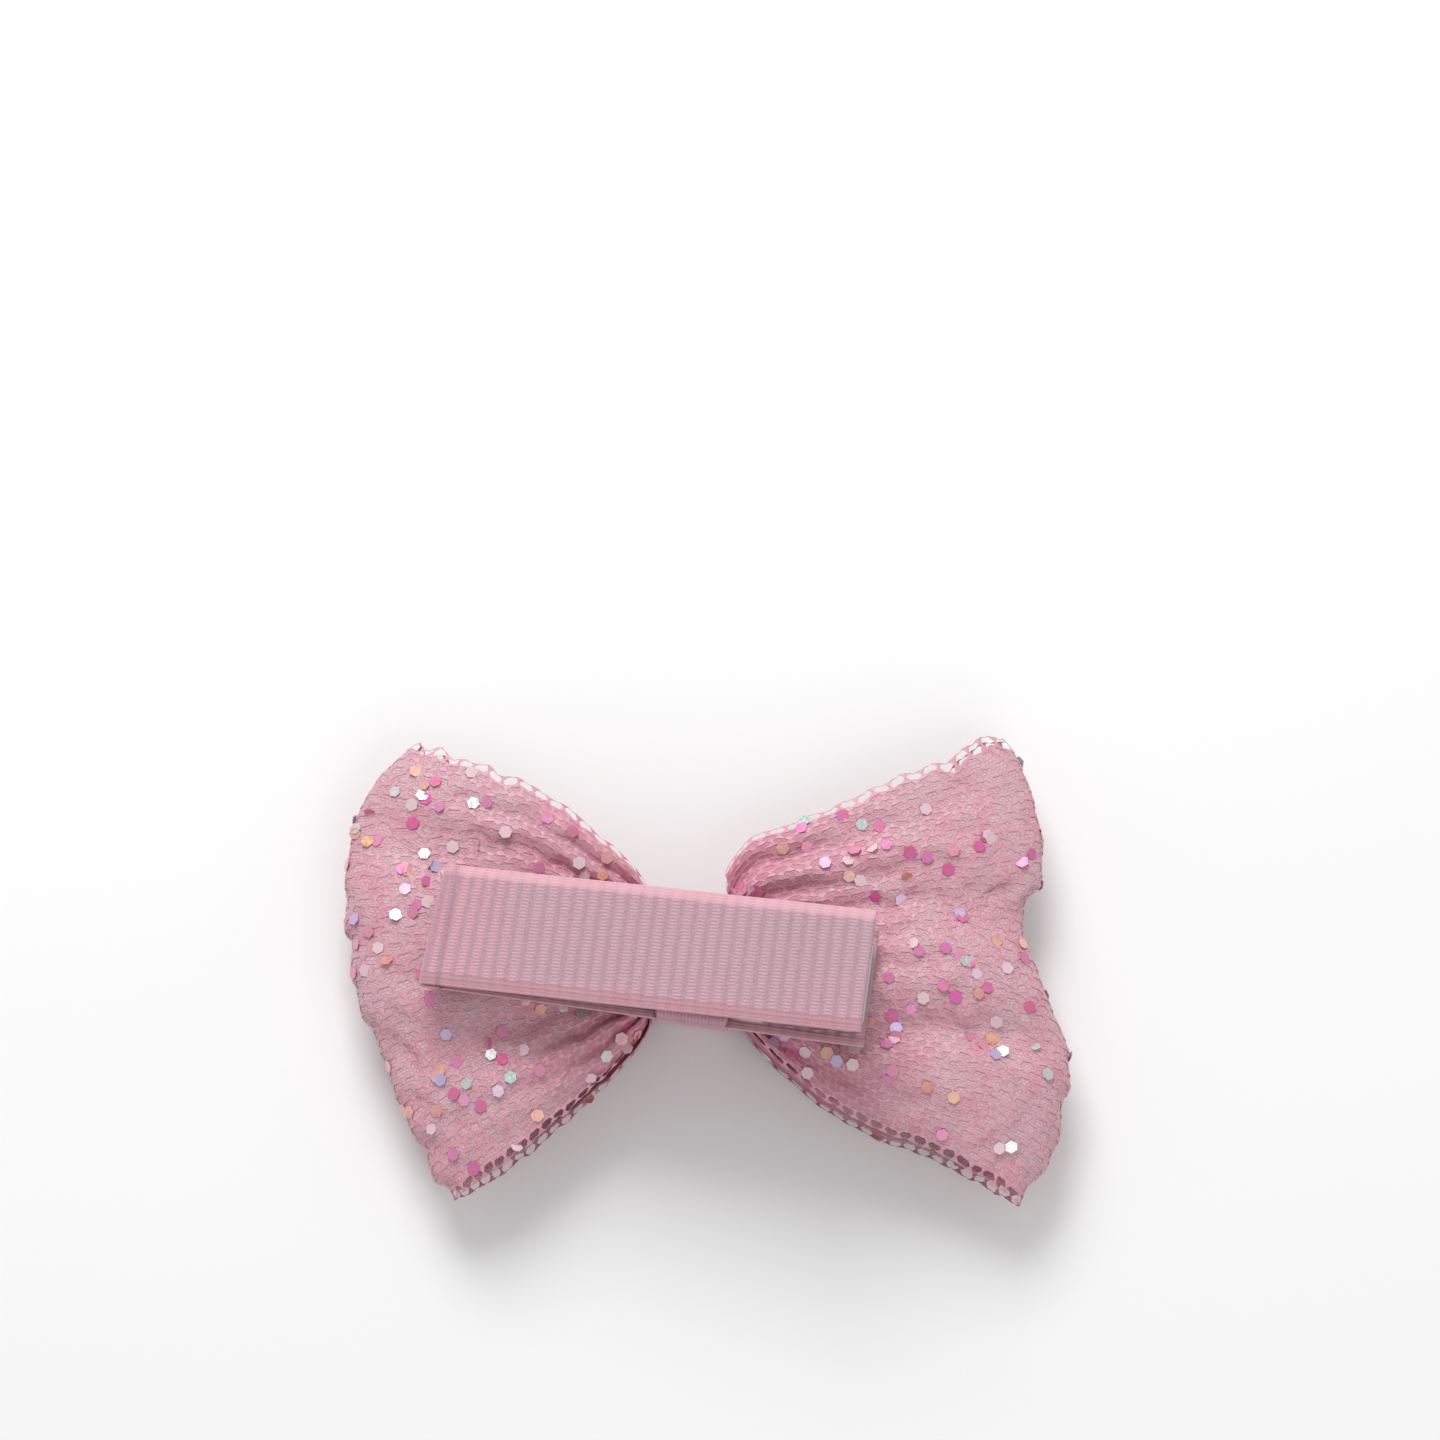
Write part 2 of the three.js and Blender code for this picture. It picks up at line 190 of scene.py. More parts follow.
# Camera, light and floor
VIEW_ELEVATION = math.radians(75)
VIEW_DISTANCE = 375
VIEW_TARGET = (1.16, 21.13, 5)
VIEW_WIDTH = 120  # seen at the target
SENSOR = 36
KEY_PLACE = (-80, 370, 330)
KEY_SIZE = 260
KEY_POWER = 1.85
FILL_PLACE = (160, -260, 320)
FILL_SIZE = 320
FILL_POWER = 0.35
SKY_STRENGTH = 0.5
FLOOR_HALF = 900


# ---- Frame of the clip ----

hinge = frame["joints"][0]
pin = np.array(hinge["pos_m"]) / MM
across = np.array(hinge["axis"])
along = np.array((across[1], -across[0], 0))
up = np.array((0, 0, 1))
clip_origin = pin - PIN_ALONG * along - PIN_LIFT * up


def on_clip(u, v, w):
    u, v, w = (np.asarray(x, float)[..., None] for x in (u, v, w))
    return clip_origin + u * along + v * across + w * up


def on_jaw(u, v, w):
    """A place in the closed moving arm's frame, whose origin is on the pin."""
    u, w = np.asarray(u, float), np.asarray(w, float)
    turned_u = u * math.cos(WEDGE) - w * math.sin(WEDGE)
    turned_w = u * math.sin(WEDGE) + w * math.cos(WEDGE)
    return on_clip(PIN_ALONG + turned_u, v, PIN_LIFT + turned_w)


# ---- Curves and small functions ----

def lerp(a, b, t):
    return a + (b - a) * t


def smoothstep(x, low, high):
    t = np.clip((x - low) / (high - low), 0, 1)
    return t * t * (3 - 2 * t)


def bump(x, middle, half_width):
    return np.exp(-(((x - middle) / half_width) ** 2))


def smooth_curve(points, steps=40):
    """A centripetal Catmull-Rom curve through points, as a function of its share of arc length."""
    p = np.array(points, float)
    p = np.vstack([2 * p[0] - p[1], p, 2 * p[-1] - p[-2]])
    gaps = np.sqrt(np.linalg.norm(np.diff(p, axis=0), axis=1))
    t = np.linspace(0, 1, steps, endpoint=False)[:, None]
    pieces = []
    for i in range(1, len(p) - 2):
        before, inside, after = gaps[i - 1:i + 2]
        a, b, c, d = p[i - 1:i + 3]
        leave = ((b - a) / before - (c - a) / (before + inside) + (c - b) / inside) * inside
        arrive = ((c - b) / inside - (d - b) / (inside + after) + (d - c) / after) * inside
        pieces.append(b + leave * t + (3 * (c - b) - 2 * leave - arrive) * t**2
                      + (2 * (b - c) + leave + arrive) * t**3)
    line = np.vstack([*pieces, p[-2:-1]])
    reach = np.concatenate([[0], np.cumsum(np.linalg.norm(np.diff(line, axis=0), axis=1))])
    reach /= reach[-1]
    return lambda share: np.stack([np.interp(share, reach, c) for c in line.T], -1)


def ripple(seed, count, longest, shortest):
    """Smooth seeded noise of two variables, about 1 high, with waves between two lengths."""
    random = np.random.default_rng(seed)
    angles = random.uniform(0, math.tau, count)
    phases = random.uniform(0, math.tau, count)
    waves = math.tau / np.geomspace(longest, shortest, count)

    def noise(x, y):
        parts = [np.sin(k * (x * math.cos(a) + y * math.sin(a)) + p)
                 for k, a, p in zip(waves, angles, phases)]
        return sum(parts) / math.sqrt(count / 2)
    return noise


# ---- Materials ----

class Paint:
    """A procedural material: named helpers that add its nodes."""

    def __init__(self, name, **sockets):
        self.material = bpy.data.materials.new(name)
        self.material.use_nodes = True
        self.tree = self.material.node_tree
        self.shader = self.tree.nodes["Principled BSDF"]
        for key, value in sockets.items():
            self.shader.inputs[key.replace("_", " ")].default_value = value

    def add(self, kind, inputs=None, **properties):
        """A node. An input given as a socket is linked, and any other value is set."""
        node = self.tree.nodes.new("ShaderNode" + kind)
        for key, value in properties.items():
            setattr(node, key, value)
        for key, value in (inputs or {}).items():
            if isinstance(value, bpy.types.NodeSocket):
                self.tree.links.new(value, node.inputs[key])
            else:
                node.inputs[key].default_value = value
        return node

    def value(self, name):
        """A piece's named number at each vertex."""
        return self.add("Attribute", attribute_name=name).outputs["Fac"]

    def colour(self, name):
        return self.add("Attribute", attribute_name=name).outputs["Color"]

    def place(self, name=None):
        """Where a point is in the object's frame, or in the flat cloth, in millimetres."""
        if name:
            return self.add("Attribute", attribute_name=name).outputs["Vector"]
        place = self.add("TexCoord").outputs["Object"]
        return self.add("VectorMath", {0: place, "Scale": 1 / MM}, operation="SCALE").outputs[0]

    def noise(self, place, size, detail=3.0):
        """Noise from 0 to 1 with blobs of a size in millimetres."""
        inputs = {"Vector": place, "Scale": 1 / size, "Detail": detail}
        return self.add("TexNoise", inputs).outputs["Fac"]

    def range(self, value, low, high, to_low=0.0, to_high=1.0):
        inputs = {"Value": value, "From Min": low, "From Max": high, "To Min": to_low,
                  "To Max": to_high}
        return self.add("MapRange", inputs).outputs["Result"]

    def math(self, operation, a, b=0.0):
        return self.add("Math", {0: a, 1: b}, operation=operation).outputs[0]

    def mix(self, share, a, b):
        """A mix of two colours, each a socket or three numbers."""
        a, b = (c if isinstance(c, bpy.types.NodeSocket) else (*c, 1) for c in (a, b))
        node = self.add("Mix", data_type="RGBA")
        for key, value in ((0, share), (6, a), (7, b)):
            if isinstance(value, bpy.types.NodeSocket):
                self.tree.links.new(value, node.inputs[key])
            else:
                node.inputs[key].default_value = value
        return node.outputs[2]

    def set(self, key, socket):
        self.tree.links.new(socket, self.shader.inputs[key])

    def bump(self, height, depth):
        """Relief of a depth in millimetres."""
        node = self.add("Bump", {"Height": height, "Distance": depth * MM, "Strength": 1.0})
        self.set("Normal", node.outputs["Normal"])


def paint(piece, made):
    piece.data.materials.clear()
    piece.data.materials.append(made.material)


PINK = (0.7, 0.23, 0.33)
PALE_PINK = (0.78, 0.5, 0.57)
ROSE = (0.72, 0.24, 0.38)


def net_paint():
    made = Paint("net_nylon", Roughness=0.42, Sheen_Weight=0.1, IOR=1.5)
    place = made.place()
    patches = made.range(made.noise(place, 2.6, detail=4), 0.36, 0.62)
    fibres = made.noise(place, 0.35, detail=2)
    colour = made.mix(patches, (0.63, 0.25, 0.32), (0.6, 0.32, 0.37))
    colour = made.mix(made.range(made.value("gather"), 0, 1, 0.05, 0.75), colour, PINK)
    colour = made.mix(made.range(fibres, 0.3, 0.7, 0, 0.3), colour, (0.84, 0.6, 0.67))
    made.set("Base Color", colour)
    made.set("Roughness", made.range(fibres, 0.3, 0.7, 0.3, 0.6))
    made.bump(fibres, 0.02)
    return made


def backing_paint():
    """Matt cloth with a fine staggered weave, mottled pale and pink."""
    made = Paint("backing_cloth", Roughness=0.85, Sheen_Weight=0.1)
    place = made.place()
    patches = made.range(made.noise(place, 2.6, detail=4), 0.36, 0.62)
    small = made.range(made.noise(place, 0.7, detail=2), 0.35, 0.68)
    colour = made.mix(patches, (0.69, 0.33, 0.4), (0.66, 0.42, 0.47))
    colour = made.mix(made.math("MULTIPLY", small, 0.55), colour, (0.78, 0.58, 0.63))
    colour = made.mix(made.range(made.value("gather"), 0, 1, 0.0, 0.85), colour, PINK)
    weave = made.add("TexBrick", {"Vector": made.place("cloth"), "Scale": 1.0, "Mortar Size": 0.05,
                                  "Brick Width": 0.42, "Row Height": 0.24, "Mortar Smooth": 0.6},
                     offset=0.5)
    holes = weave.outputs["Fac"]
    made.set("Base Color", made.mix(made.math("MULTIPLY", holes, 0.15), colour, ROSE))
    made.bump(made.math("SUBTRACT", 1.0, holes), 0.06)
    return made


def ribbon_paint():
    """Grosgrain: pinker at its selvedges, greyer where the steel arm shows through, and darkened
    with painted shade in its rib valleys, seams, selvedge lines and creases.
    """
    made = Paint("grosgrain", Roughness=0.62, Sheen_Weight=0.1)
    place = made.place()
    patches = made.range(made.noise(place, 6.0, detail=2), 0.3, 0.7)
    colour = made.mix(patches, (0.66, 0.29, 0.36), (0.68, 0.34, 0.4))
    grey = made.math("MULTIPLY", made.value("arm_under"), made.range(patches, 0, 1, 0.75, 1.0))
    colour = made.mix(grey, colour, (0.525, 0.315, 0.365))
    # Painted shade: darkens the colour in the rib valleys, seams, selvedge lines and creases that
    # ribbon_relief and ribbon_piece mark.
    valley_shade = made.range(made.value("valley_shade"), 0.15, 1, 0, 0.75)
    colour = made.mix(valley_shade, colour, (0.34, 0.19, 0.24))
    threads = made.noise(place, 0.12, detail=2)
    colour = made.mix(made.range(threads, 0.35, 0.7, 0, 0.22), colour, (0.9, 0.7, 0.76))
    made.set("Base Color", colour)
    made.set("Roughness", made.range(threads, 0.3, 0.7, 0.38, 0.6))
    made.bump(threads, 0.03)
    return made


def glitter_paint():
    """Iridescent film: each flake has its own tint and gloss, and its hue drifts across it."""
    made = Paint("glitter_film", Roughness=0.2, Coat_Weight=0.6, Coat_Roughness=0.08, IOR=1.6)
    place = made.place()
    drift = made.range(made.noise(place, 0.8, detail=1), 0.35, 0.65)
    shifted = made.add("HueSaturation", {"Hue": made.range(drift, 0, 1, 0.47, 0.53),
                                         "Color": made.colour("tint")}).outputs["Color"]
    made.set("Base Color", shifted)
    made.set("Metallic", made.value("sparkle"))
    made.set("Roughness", made.range(made.noise(place, 0.3), 0.3, 0.7, 0.12, 0.32))
    return made


def steel_paint(name, colour, roughness):
    """Plated steel with fine brush marks and a few darker stains."""
    made = Paint(name, Metallic=1.0, Roughness=roughness)
    place = made.place()
    stretched = made.add("VectorMath", {0: place, 1: (0.12, 1.0, 1.0)}, operation="MULTIPLY")
    marks = made.noise(stretched.outputs[0], 0.09, detail=2)
    stains = made.range(made.noise(place, 2.2, detail=4), 0.45, 0.75)
    made.set("Base Color", made.mix(made.math("MULTIPLY", stains, 0.35), colour,
                                    tuple(0.6 * c for c in colour)))
    made.set("Roughness", made.range(marks, 0.3, 0.7, roughness - 0.08, roughness + 0.12))
    made.bump(marks, 0.01)
    return made


def thread_paint():
    made = Paint("thread_twist", Roughness=0.7, Sheen_Weight=0.4)
    fibres = made.noise(made.place(), 0.08, detail=2)
    share = made.range(fibres, 0.3, 0.7)
    made.set("Base Color", made.mix(share, (0.76, 0.5, 0.58), (0.88, 0.7, 0.76)))
    made.bump(fibres, 0.02)
    return made


def glue_paint():
    made = Paint("hot_glue", Roughness=0.3, Subsurface_Weight=0.2, IOR=1.48)
    cloud = made.noise(made.place(), 1.2)
    share = made.range(cloud, 0.3, 0.7)
    made.set("Base Color", made.mix(share, (0.8, 0.74, 0.62), (0.9, 0.86, 0.78)))
    made.bump(cloud, 0.08)
    return made


# ---- Pieces ----

def new_piece(name, points, faces, body, smooth=True, values=None):
    """A mesh piece that rides on a body. points are in millimetres; values are named numbers or
    colours for each vertex, which the materials read."""
    mesh = bpy.data.meshes.new(name)
    mesh.from_pydata((np.asarray(points) * MM).tolist(), [], faces)
    mesh.validate()
    mesh.polygons.foreach_set("use_smooth", [smooth] * len(mesh.polygons))
    for key, value in (values or {}).items():
        value = np.asarray(value, float)
        if value.ndim == 1:
            layer = mesh.attributes.new(key, "FLOAT", "POINT")
            layer.data.foreach_set("value", value)
        else:
            layer = mesh.attributes.new(key, "FLOAT_COLOR", "POINT")
            layer.data.foreach_set("color", np.c_[value, np.ones(len(value))].ravel())
    piece = bpy.data.objects.new(name, mesh)
    bpy.context.scene.collection.objects.link(piece)
    if body:
        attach(piece, body)
    return piece


def grid_faces(rows, columns, start=0, wrap=False, flip=False):
    """Quads over a grid of vertices numbered row by row."""
    r, c = np.meshgrid(np.arange(rows if wrap else rows - 1), np.arange(columns - 1), indexing="ij")
    next_r = (r + 1) % rows
    quads = np.stack([r * columns + c, next_r * columns + c,
                      next_r * columns + c + 1, r * columns + c + 1], -1).reshape(-1, 4) + start
    return (quads[:, ::-1] if flip else quads).tolist()


def closed_sheet(outer, inner, wrap=False):
    """Vertices and quads of a thin closed sheet between two grids of points."""
    rows, columns = outer.shape[:2]
    size = rows * columns
    points = np.vstack([outer.reshape(-1, 3), inner.reshape(-1, 3)])
    faces = grid_faces(rows, columns, 0, wrap) + grid_faces(rows, columns, size, wrap, flip=True)
    number = np.arange(size).reshape(rows, columns)
    first, last = number[:, 0][::-1], number[:, -1]
    if wrap:
        rims = [np.append(first, first[0]), np.append(last, last[0])]
    else:
        rims = [first, last, number[0], number[-1][::-1]]
    for rim in rims:
        for a, b in zip(rim[:-1].tolist(), rim[1:].tolist()):
            faces.append((a, b, b + size, a + size))
    return points, faces


# ---- Loops ----

crinkle = ripple(seed=3, count=14, longest=9, shortest=1.8)


def loop_plan(side):
    """Plan of a loop: share runs from the waist to the end fold, rise from the lower long edge to
    the upper one."""
    edges = OUTLINES[side]
    away = AWAY[side]

    def waist(v):
        near = [WAIST_ALONG + away * 0.6, WAIST_ALONG + away * (WRAP_WIDTH / 2 + 0.65)]
        return [tuple(on_clip(u, v, 0)[:2]) for u in near]

    upper = smooth_curve(waist(WAIST_HALF_HEIGHT) + edges["upper"])
    lower = smooth_curve(waist(-WAIST_HALF_HEIGHT) + edges["lower"])
    end = smooth_curve([edges["lower"][-1], *edges["end"][::-1], edges["upper"][-1]])

    def plan(share, rise):
        low = lower(share)
        point = low + (upper(share) - low) * rise[..., None]
        chord = lerp(lower(1.0), upper(1.0), rise[..., None])
        point = point + (end(rise) - chord) * share[..., None] ** 2
        blunt = CORNER_ROUNDING * np.maximum(0, 2 * rise - 1) ** 24 * share**8
        wander = EDGE_WANDER * share * crinkle(60 + 30 * share, rise * STRIP_WIDTH + 50 * away)
        point[..., 0] -= away * (blunt + 0.6 * wander * share**3)
        point[..., 1] += wander
        return point
    return plan


def pleat_depth(side, share, rise, facing):
    """How far pleats, soft folds and crinkles sink a layer below its smooth envelope."""
    shift = 0.35 * facing + AWAY[side]
    gather = lerp(1, 0.5, smoothstep(share, 0.08, 0.35)) * (1 - smoothstep(share, 0.3, 0.95))
    swing = PLEATS * rise + 0.3 * np.sin(math.tau * rise * 1.3 + shift) + shift
    deep = PLEAT_DEPTH * gather * (0.5 - 0.5 * np.cos(math.tau * swing)) ** 1.4
    for start, end, half_width, depth in FOLDS[side]:
        middle = lerp(start, end, share) if facing > 0 else lerp(1 - start, 1 - end, share)
        deep = deep + depth * bump(rise, middle, half_width) * smoothstep(share, 0.05, 0.3)
    fine = crinkle(share * 14 + 20 * AWAY[side], rise * STRIP_WIDTH * 1.1 + 9 * facing)
    return deep + 0.12 * (1 + 0.5 * fine)


def layer_depth(side, share, rise, facing, inset):
    crest = np.sin(math.pi * rise ** (BACK_SKEW if facing > 0 else 1))
    loop = LOOP_HALF_DEPTH * lerp(EDGE_SHARE, 1, crest**0.8)
    waist = WAIST_HALF_DEPTH * lerp(WAIST_EDGE_SHARE, 1, crest**0.5)
    closing = np.maximum(0, (share - FOLD_START) / (1 - FOLD_START))
    depth = lerp(waist, loop, smoothstep(share, 0.1, 0.45))
    depth = depth - inset - pleat_depth(side, share, rise, facing)
    return depth * np.sqrt(1 - closing**2)


class Strip:
    """The surface of a strip round both loops, as places along and across the flat strip."""

    def __init__(self, inset, pull_back, margin, rows=150, steps=110):
        stations = []
        for side in ("right", "left"):
            for i in range(2 * steps + 1):
                t = i / steps if i <= steps else 2 - i / steps
                facing = AWAY[side] if i <= steps else -AWAY[side]
                stations.append((side, math.sin(t * math.pi / 2), facing))
        stations.append(stations[0])
        rise = np.linspace(margin, 1 - margin, rows)
        plans = {side: loop_plan(side) for side in OUTLINES}
        grid = []
        shares = []
        for side, share, facing in stations:
            s = np.full(rows, share)
            xy = plans[side](s, rise)
            xy[:, 0] -= AWAY[side] * share**4 * pull_back
            depth = layer_depth(side, s, rise, facing, inset)
            grid.append(np.c_[xy, MID_HEIGHT + facing * depth])
            shares.append(share)
        self.points = np.array(grid)
        steps_3d = np.linalg.norm(np.diff(self.points[:, ::10], axis=0), axis=2).mean(1)
        self.reach = np.concatenate([[0], np.cumsum(steps_3d)])
        self.length = self.reach[-1]
        self.shares = np.array(shares)
        self.rows = rows
        along_strip = np.gradient(self.points, axis=0)
        across_strip = np.gradient(self.points, axis=1)
        normal = np.cross(along_strip, across_strip)
        self.normals = normal / np.linalg.norm(normal, axis=2, keepdims=True)

    def _mix(self, table, x, y):
        """Bilinear value of a table at x millimetres along the strip and share y across it."""
        x = np.mod(x, self.length)
        i = np.clip(np.searchsorted(self.reach, x, side="right") - 1, 0, len(self.reach) - 2)
        s = (x - self.reach[i]) / (self.reach[i + 1] - self.reach[i])
        row = np.clip(y, 0, 1) * (self.rows - 1)
        j = np.minimum(row.astype(int), self.rows - 2)
        t = row - j
        s, t = s[..., None], t[..., None]
        return (table[i, j] * (1 - s) * (1 - t) + table[i + 1, j] * s * (1 - t)
                + table[i, j + 1] * (1 - s) * t + table[i + 1, j + 1] * s * t)

    def at(self, x, y, lift=0.0):
        lift = np.asarray(lift, float)[..., None]
        return self._mix(self.points, x, y) + self.normal(x, y) * lift

    def normal(self, x, y):
        n = self._mix(self.normals, x, y)
        return n / np.linalg.norm(n, axis=-1, keepdims=True)

    def share(self, x):
        return np.interp(np.mod(x, self.length), self.reach, self.shares)


def gather_at(strip, x):
    """How gathered the cloth is at x: 1 at the waist, 0 towards the end folds."""
    return 1 - smoothstep(strip.share(x), 0.1, 0.85)


# ---- Net ----

def cell_outline():
    """A cell's outer corners and its hole, in the flat net, from the cell's lower left corner."""
    p, h, lean = CELL_LENGTH, CELL_HEIGHT, CELL_LEAN
    corners = np.array([(0, -lean), (p / 2, lean), (p, -lean), (p, h + lean), (p / 2, h - lean),
                        (0, h + lean)])
    outer = np.empty((12, 2))
    outer[::2] = corners
    outer[1::2] = (corners + np.roll(corners, -1, axis=0)) / 2
    centre = np.array((p / 2, h / 2))
    angle = np.arctan2(outer[:, 1] - centre[1], outer[:, 0] - centre[0])
    half = np.array(((p - STRAND_WIDTH) / 2, (h - STRAND_WIDTH) / 2))
    ring = np.stack([np.cos(angle), np.sin(angle)], -1)
    reach = (np.abs(ring / half) ** 3).sum(1) ** (-1 / 3)
    return outer, centre + ring * reach[:, None]


def net_piece(strip):
    outer, hole = cell_outline()
    rows = round(STRIP_WIDTH / CELL_HEIGHT)
    columns = round(strip.length / CELL_LENGTH)
    stretch = strip.length / (columns * CELL_LENGTH)
    tall = rows * CELL_HEIGHT
    corner_number = {}
    flat, lifts, faces = [], [], []

    def shared(x, y):
        """The pair of vertices, on top and underneath, at a corner that cells share."""
        key = (round(x * 100) % round(columns * CELL_LENGTH * 100), round(y * 100))
        if key not in corner_number:
            corner_number[key] = len(flat)
            flat.extend([(x, y), (x, y)])
            lifts.extend([STRAND_THICKNESS / 2, -STRAND_THICKNESS / 2])
        return corner_number[key]

    for row in range(rows):
        for column in range(columns):
            shift = np.array(((column + 0.5 * (row % 2)) * CELL_LENGTH, row * CELL_HEIGHT))
            rim = outer + shift
            if row == 0:
                rim[:, 1] = np.maximum(rim[:, 1], 0)
            if row == rows - 1:
                rim[:, 1] = np.minimum(rim[:, 1], tall)
            ring = [shared(x, y) for x, y in rim]
            first = len(flat)
            flat.extend((hole + shift).tolist())
            lifts.extend([0.0] * len(hole))
            for i in range(len(ring)):
                j = (i + 1) % len(ring)
                faces.append((ring[i], ring[j], first + j, first + i))
                faces.append((ring[j] + 1, ring[i] + 1, first + i, first + j))
    flat = np.array(flat)
    x, y = flat[:, 0] * stretch, flat[:, 1] / tall
    points = strip.at(x, y, np.array(lifts))
    net = new_piece("net", points, faces, "bow", smooth=False,
                    values={"gather": gather_at(strip, x)})
    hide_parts("net_strip")
    paint(net, net_paint())


# ---- Backing ----

def backing_piece(outer_strip, inner_strip, steps=410, rows=120):
    x, y = np.meshgrid(np.linspace(0, 1, steps, endpoint=False), np.linspace(0, 1, rows),
                       indexing="ij")
    outer = outer_strip.at(x * outer_strip.length, y)
    inner = inner_strip.at(x * inner_strip.length, y)
    points, faces = closed_sheet(outer, inner, wrap=True)
    gather = gather_at(outer_strip, x * outer_strip.length).ravel()
    cloth = np.stack([x * outer_strip.length, y * STRIP_WIDTH, np.zeros_like(x)], -1).reshape(-1, 3)
    values = {"gather": np.tile(gather, 2), "cloth": np.tile(cloth, (2, 1))}
    backing = new_piece("backing", points, faces, "bow", values=values)
    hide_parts("backing_strip")
    paint(backing, backing_paint())


# ---- Grosgrain ribbons ----

def rib_at(a):
    """Height of the ribs, 0 to 1, at a millimetres along a ribbon, and the number of the rib."""
    turn = a / RIB_PITCH
    number = np.floor(turn)
    off_crest = np.abs(2 * (turn - number) - 1)
    rise = np.sqrt(np.clip(1 - (off_crest / RIB_SHARE) ** 2, 0, 1))
    return rise, number


def ribbon_relief(a, b):
    """How far a ribbon's face lies below its highest threads, and how much painted shade its
    rib valleys, seam and selvedge lines get.
    """
    half = RIBBON_WIDTH / 2
    rise, number = rib_at(a)
    dash = 0.5 - 0.5 * np.cos(math.tau * (b / WARP_PITCH + 0.5 * np.mod(number, 2)))
    woven = RIB_HEIGHT * (1 - rise) + WARP_HEIGHT * dash * rise
    edge = smoothstep(np.abs(b), half - SELVEDGE - 0.12, half - SELVEDGE + 0.06)
    lines = 0.03 * (1 - np.cos(math.tau * b / 0.26)) + 0.03 * (1 - rise)
    seam = 0.09 * bump(np.abs(b), half - SELVEDGE, 0.06)
    round_off = 0.1 * smoothstep(np.abs(b), half - 0.12, half)
    # Painted shade: how much the colour is darkened in the rib valleys, the seam and the selvedge
    # lines.
    valley_shade = (1 - edge) * (0.9 * (1 - rise) ** 1.3 + 0.9 * dash * rise) + 3 * seam
    valley_shade = valley_shade + edge * 7 * lines
    return lerp(woven, lines, edge) + seam + round_off, np.clip(valley_shade, 0, 1)


def ribbon_piece(name, middle, thickness, place, body, closed=False, extra=None, under=None,
                 fold=None):
    """A ribbed ribbon whose middle line is a curve in a plane. place(p, b) gives the points for
    plane points p and places b across the ribbon. extra adds relief, and painted shade where it
    sinks the ribbon, under marks the arm, and fold moves places across and above the ribbon to
    folded ones."""
    reach = np.concatenate([[0], np.cumsum(np.linalg.norm(np.diff(middle, axis=0), axis=1))])
    ribs = max(1, round(reach[-1] / RIB_PITCH))
    steps = ribs * RIB_STEPS + (0 if closed else 1)
    a_line = np.linspace(0, reach[-1], steps, endpoint=not closed)
    line = np.stack([np.interp(a_line, reach, c) for c in middle.T], -1)
    if closed:
        ahead = np.roll(line, -1, axis=0) - np.roll(line, 1, axis=0)
    else:
        ahead = np.gradient(line, axis=0)
    ahead /= np.linalg.norm(ahead, axis=1, keepdims=True)
    out = np.stack([-ahead[:, 1], ahead[:, 0]], -1)
    columns = round(RIBBON_WIDTH / WARP_PITCH * WARP_STEPS)
    b_line = np.linspace(-RIBBON_WIDTH / 2, RIBBON_WIDTH / 2, columns + 1)
    a, b = np.meshgrid(a_line * ribs * RIB_PITCH / reach[-1], b_line, indexing="ij")
    relief, valley_shade = ribbon_relief(a, b)
    sunk = extra(line[:, 0][:, None], b) if extra else np.zeros_like(a)
    skins = []
    for level in (thickness / 2 - relief - sunk, 0.5 * relief - thickness / 2 - 0.6 * sunk):
        b_there, level = fold(b, level) if fold else (b, level)
        skins.append(place(line[:, None, :] + out[:, None, :] * level[..., None], b_there))
    points, faces = closed_sheet(*skins, wrap=closed)
    # Painted shade also darkens the colour where extra sinks the ribbon: the crease behind a
    # lining's fold and the wrap's puckers.
    valley_shade = np.clip(valley_shade + 3 * sunk, 0, 1).ravel()
    arm = under(line[:, 0][:, None], b).ravel() if under else np.zeros(a.size)
    values = {"valley_shade": np.tile(valley_shade, 2), "arm_under": np.tile(arm, 2)}
    piece = new_piece(name, points, faces, body, values=values)
    paint(piece, RIBBON_PAINT)
    return piece


def arc(centre, radius, start, end, steps=10):
    turn = np.linspace(math.radians(start), math.radians(end), steps)
    return np.stack([centre[0] + radius * np.cos(turn), centre[1] + radius * np.sin(turn)], -1)


def lining_piece(name, node, place, tip, face, away, body):
    """A lining on an arm's outer face, folded over the arm's tip."""
    level = face + away * (RIBBON_GAP + RIBBON_THICKNESS / 2)
    fold = tip - FOLD_ROOM - RIBBON_THICKNESS / 2
    tail = tip + ARM_LENGTH + RIBBON_OVERHANG
    bend = arc((fold + FOLD_RADIUS, level - away * FOLD_RADIUS), FOLD_RADIUS, away * 90, away * 180)
    end = face - away * ARM_THICKNESS
    middle = np.vstack([[(tail, level)], bend, [(fold, end)]])
    if away < 0:
        middle = middle[::-1]

    def groove(u, b):
        """The crease where the ribbon is pressed down just behind its fold; ribbon_piece also
        paints shade into it.
        """
        return 0.25 * bump(u, tip + 0.4 - 0.06 * b, 0.2)

    def arm_under(u, b):
        inside = 1 - smoothstep(np.abs(b), ARM_WIDTH / 2 - 0.7, ARM_WIDTH / 2 + 0.5)
        return inside * smoothstep(u, tip - 0.2, tip + 9)

    def place_across(p, b):
        near_tip = 1 - smoothstep(p[..., 0], tip, tip + 7)
        u = p[..., 0] + FOLD_LEAN * near_tip * (b + RIBBON_WIDTH / 2)
        wave = 0.1 * np.sin(p[..., 0] * 0.45) * b / RIBBON_WIDTH
        droop = away * EDGE_DROOP * smoothstep(np.abs(b), ARM_WIDTH / 2, RIBBON_WIDTH / 2)
        outside = smoothstep(away * p[..., 1], away * end, away * level)
        return place(u, b, p[..., 1] + wave - droop * outside)

    piece = ribbon_piece(name, middle, RIBBON_THICKNESS, place_across, body, extra=groove,
                         under=arm_under)
    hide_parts(node)


